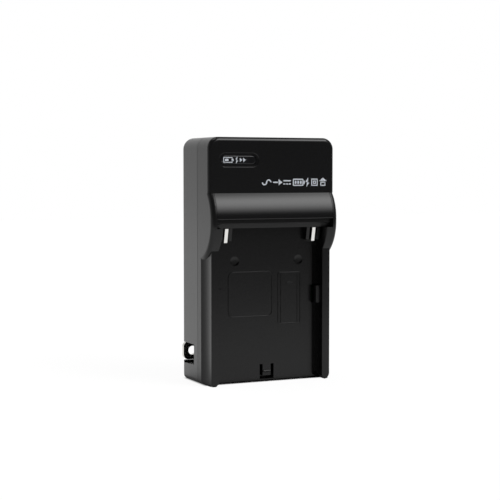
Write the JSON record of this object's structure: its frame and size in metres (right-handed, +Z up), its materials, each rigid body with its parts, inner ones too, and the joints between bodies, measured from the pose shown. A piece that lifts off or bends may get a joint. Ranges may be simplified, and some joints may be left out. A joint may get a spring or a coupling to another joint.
{
  "type": "camera battery charger",
  "caption": "Camera battery charger: upright black case with a battery bay between rims, a glossy rolled hood over the contacts, a lamp window and folding plug blades at the rear.",
  "frame": {"origin": "middle of the case's footprint, on the surface it stands on", "axes": "+X to the right seen from the front, +Y to the rear where the plug is, +Z up towards the lamp panel"},
  "size_m": [0.0486, 0.028, 0.086],
  "materials": {
    "shell_black": "fine satin moulding in black",
    "cover_black": "polished black moulding",
    "window_smoked": "smoked clear plastic",
    "contact_nickel": "nickel-plated brass strip",
    "blade_nickel": "nickel-plated brass, tumbled",
    "steel": "zinc-plated steel",
    "spring_bronze": "phosphor bronze strip",
    "board_green": "glass-fibre board with green lacquer",
    "lamp_clear": "clear moulded resin",
    "resistor_grey": "cement-coated resistor body",
    "package_black": "moulded component package",
    "package_white": "moulded component package",
    "sleeve_blue": "shrunk plastic sleeve on an aluminium can",
    "ferrite": "sintered ferrite",
    "tape_yellow": "copper winding under yellow tape",
    "disc_blue": "dipped ceramic disc"
  },
  "bodies": {
    "case": {"front_shell": "shell_black", "rear_shell": "shell_black", "front_cover": "cover_black", "lamp_window": "window_smoked", "battery_contact_left": "contact_nickel", "battery_contact_right": "contact_nickel", "hinge_pin_left": "steel", "hinge_pin_right": "steel", "case_screws": "steel", "board_screws": "steel", "blade_spring_left": "spring_bronze", "blade_spring_right": "spring_bronze", "circuit_board": "board_green", "indicator_lamp": "lamp_clear", "fuse_resistor": "resistor_grey", "bridge_rectifier": "package_black", "optocoupler": "package_white", "controller_chip": "package_black", "switching_transistor": "package_black", "output_diode": "package_black", "mains_capacitor": "sleeve_blue", "output_capacitor": "sleeve_blue", "choke": "ferrite", "transformer_core": "ferrite", "transformer_bobbin": "package_black", "transformer_winding": "tape_yellow", "safety_capacitor": "disc_blue", "chip_resistors": "package_black"},
    "left_blade": {"blade_left": "blade_nickel"},
    "right_blade": {"blade_right": "blade_nickel"}
  },
  "joints": [
    {"name": "left_blade_fold", "type": "hinge", "parent": "case", "child": "left_blade", "pos_m": [-0.00635, 0.01275, 0.01], "axis": [0, 0, -1], "range_deg": [0, 90]},
    {"name": "right_blade_fold", "type": "hinge", "parent": "case", "child": "right_blade", "pos_m": [0.00635, 0.01275, 0.01], "axis": [0, 0, 1], "range_deg": [0, 90]}
  ]
}
